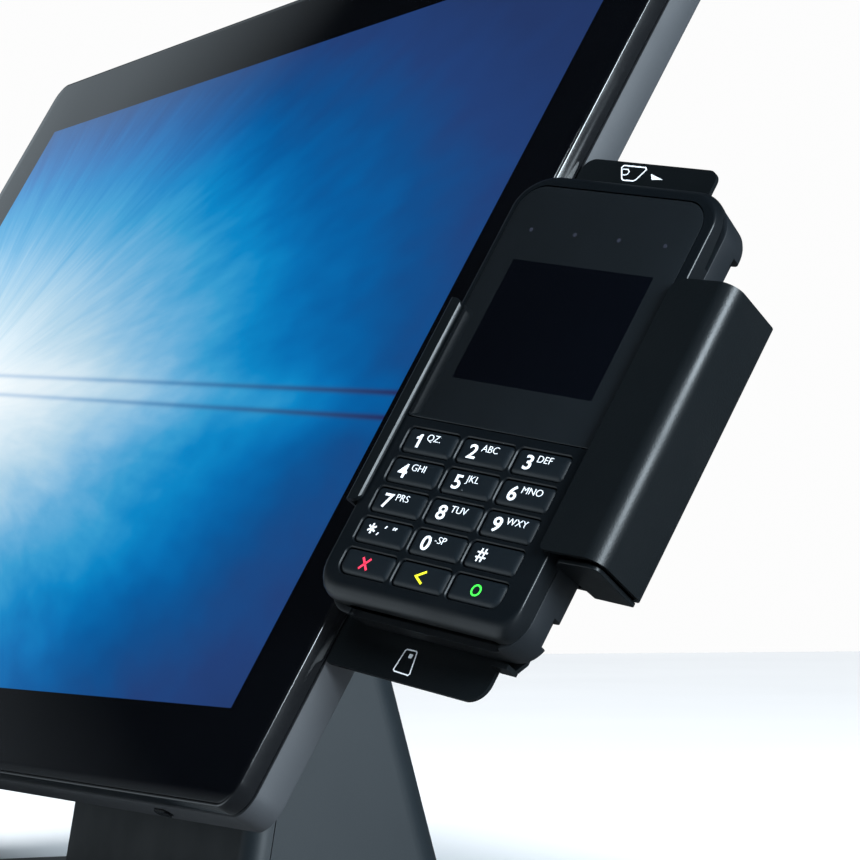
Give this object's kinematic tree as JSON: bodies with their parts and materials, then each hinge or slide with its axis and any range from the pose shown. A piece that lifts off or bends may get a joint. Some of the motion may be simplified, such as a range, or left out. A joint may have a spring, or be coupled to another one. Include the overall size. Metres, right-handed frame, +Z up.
{
  "type": "self checkout kiosk",
  "caption": "Counter-top self checkout kiosk: a leaning touchscreen on a tilt stand, with a sheet metal cradle at its side that holds a keypad card terminal.",
  "frame": {"origin": "centre of the base pad's underside, on the counter", "axes": "+X to the customer's right, along the screen's width; +Y away from the customer; +Z up"},
  "size_m": [0.7048, 0.24, 0.3821],
  "materials": {
    "black_glass": "polished, black printed border",
    "gloss_black": "high gloss",
    "silver": "fine satin",
    "stand_grey": "satin, finely textured",
    "powder_black": "black powder coat",
    "housing": "satin",
    "lens": "polished",
    "key": "satin",
    "rubber": "matte",
    "steel": "zinc plated",
    "aluminium": "extruded",
    "board": "solder mask",
    "panel": "metal backed panel module",
    "module": "moulded module"
  },
  "bodies": {
    "stand": {"base_cover": "stand_grey", "base_pad": "rubber", "base_plate": "steel", "cable_grommet": "rubber", "column_cap": "stand_grey", "column_front_cover": "stand_grey", "column_rear_cover": "stand_grey", "column_spine": "steel", "hinge_barrel": "steel", "hinge_nut_left": "steel", "hinge_nut_right": "steel", "hinge_shaft": "steel", "hinge_washer_left": "module", "hinge_washer_right": "module"},
    "display": {"front_glass": "black_glass", "front_bezel": "gloss_black", "side_frame": "silver", "lcd_panel": "panel", "rear_cover": "stand_grey", "cable_cover": "stand_grey", "mainboard": "board", "heat_sink": "aluminium", "speaker_left": "module", "speaker_right": "module", "hinge_bracket": "steel", "bracket_screw_1": "steel", "bracket_screw_2": "steel", "bracket_screw_3": "steel", "bracket_screw_4": "steel", "cradle_plate": "powder_black", "wrap_end_cap": "powder_black", "cradle_arm": "powder_black", "arm_screw_1": "steel", "arm_screw_2": "steel"},
    "terminal": {"terminal_front_housing": "housing", "terminal_rear_housing": "housing", "display_lens": "lens", "lcd_module": "module", "contactless_antenna": "board", "keypad_mat": "rubber", "terminal_board": "board", "chip_card_reader": "module", "swipe_reader_head": "module"},
    "power_button": {"power_button": "gloss_black"},
    "key_1": {"key_1": "key"},
    "key_2": {"key_2": "key"},
    "key_3": {"key_3": "key"},
    "key_4": {"key_4": "key"},
    "key_5": {"key_5": "key"},
    "key_6": {"key_6": "key"},
    "key_7": {"key_7": "key"},
    "key_8": {"key_8": "key"},
    "key_9": {"key_9": "key"},
    "key_star": {"key_star": "key"},
    "key_0": {"key_0": "key"},
    "key_hash": {"key_hash": "key"},
    "key_cancel": {"key_cancel": "key"},
    "key_clear": {"key_clear": "key"},
    "key_enter": {"key_enter": "key"}
  },
  "joints": [
    {"name": "display_tilt", "type": "hinge", "parent": "stand", "child": "display", "pos_m": [0, 0.024, 0.1853], "axis": [1, 0, 0], "range_deg": [-25, 15]},
    {"name": "terminal_slide", "type": "slide", "parent": "display", "child": "terminal", "axis": [0, 0.5, 0.866], "range_m": [0, 0.16]},
    {"name": "power_button_press", "type": "slide", "parent": "display", "child": "power_button", "axis": [0, 0.5, 0.866], "range_m": [0, 0.0007], "stiffness_N_per_m": 600, "springref_m": -0.0006},
    {"name": "key_1_press", "type": "slide", "parent": "terminal", "child": "key_1", "axis": [-0.3322, 0.8169, -0.4716], "range_m": [0, 0.0008], "stiffness_N_per_m": 600, "springref_m": -0.0006},
    {"name": "key_2_press", "type": "slide", "parent": "terminal", "child": "key_2", "axis": [-0.3322, 0.8169, -0.4716], "range_m": [0, 0.0008], "stiffness_N_per_m": 600, "springref_m": -0.0006},
    {"name": "key_3_press", "type": "slide", "parent": "terminal", "child": "key_3", "axis": [-0.3322, 0.8169, -0.4716], "range_m": [0, 0.0008], "stiffness_N_per_m": 600, "springref_m": -0.0006},
    {"name": "key_4_press", "type": "slide", "parent": "terminal", "child": "key_4", "axis": [-0.3322, 0.8169, -0.4716], "range_m": [0, 0.0008], "stiffness_N_per_m": 600, "springref_m": -0.0006},
    {"name": "key_5_press", "type": "slide", "parent": "terminal", "child": "key_5", "axis": [-0.3322, 0.8169, -0.4716], "range_m": [0, 0.0008], "stiffness_N_per_m": 600, "springref_m": -0.0006},
    {"name": "key_6_press", "type": "slide", "parent": "terminal", "child": "key_6", "axis": [-0.3322, 0.8169, -0.4716], "range_m": [0, 0.0008], "stiffness_N_per_m": 600, "springref_m": -0.0006},
    {"name": "key_7_press", "type": "slide", "parent": "terminal", "child": "key_7", "axis": [-0.3322, 0.8169, -0.4716], "range_m": [0, 0.0008], "stiffness_N_per_m": 600, "springref_m": -0.0006},
    {"name": "key_8_press", "type": "slide", "parent": "terminal", "child": "key_8", "axis": [-0.3322, 0.8169, -0.4716], "range_m": [0, 0.0008], "stiffness_N_per_m": 600, "springref_m": -0.0006},
    {"name": "key_9_press", "type": "slide", "parent": "terminal", "child": "key_9", "axis": [-0.3322, 0.8169, -0.4716], "range_m": [0, 0.0008], "stiffness_N_per_m": 600, "springref_m": -0.0006},
    {"name": "key_star_press", "type": "slide", "parent": "terminal", "child": "key_star", "axis": [-0.3322, 0.8169, -0.4716], "range_m": [0, 0.0008], "stiffness_N_per_m": 600, "springref_m": -0.0006},
    {"name": "key_0_press", "type": "slide", "parent": "terminal", "child": "key_0", "axis": [-0.3322, 0.8169, -0.4716], "range_m": [0, 0.0008], "stiffness_N_per_m": 600, "springref_m": -0.0006},
    {"name": "key_hash_press", "type": "slide", "parent": "terminal", "child": "key_hash", "axis": [-0.3322, 0.8169, -0.4716], "range_m": [0, 0.0008], "stiffness_N_per_m": 600, "springref_m": -0.0006},
    {"name": "key_cancel_press", "type": "slide", "parent": "terminal", "child": "key_cancel", "axis": [-0.3322, 0.8169, -0.4716], "range_m": [0, 0.0008], "stiffness_N_per_m": 600, "springref_m": -0.0006},
    {"name": "key_clear_press", "type": "slide", "parent": "terminal", "child": "key_clear", "axis": [-0.3322, 0.8169, -0.4716], "range_m": [0, 0.0008], "stiffness_N_per_m": 600, "springref_m": -0.0006},
    {"name": "key_enter_press", "type": "slide", "parent": "terminal", "child": "key_enter", "axis": [-0.3322, 0.8169, -0.4716], "range_m": [0, 0.0008], "stiffness_N_per_m": 600, "springref_m": -0.0006}
  ]
}
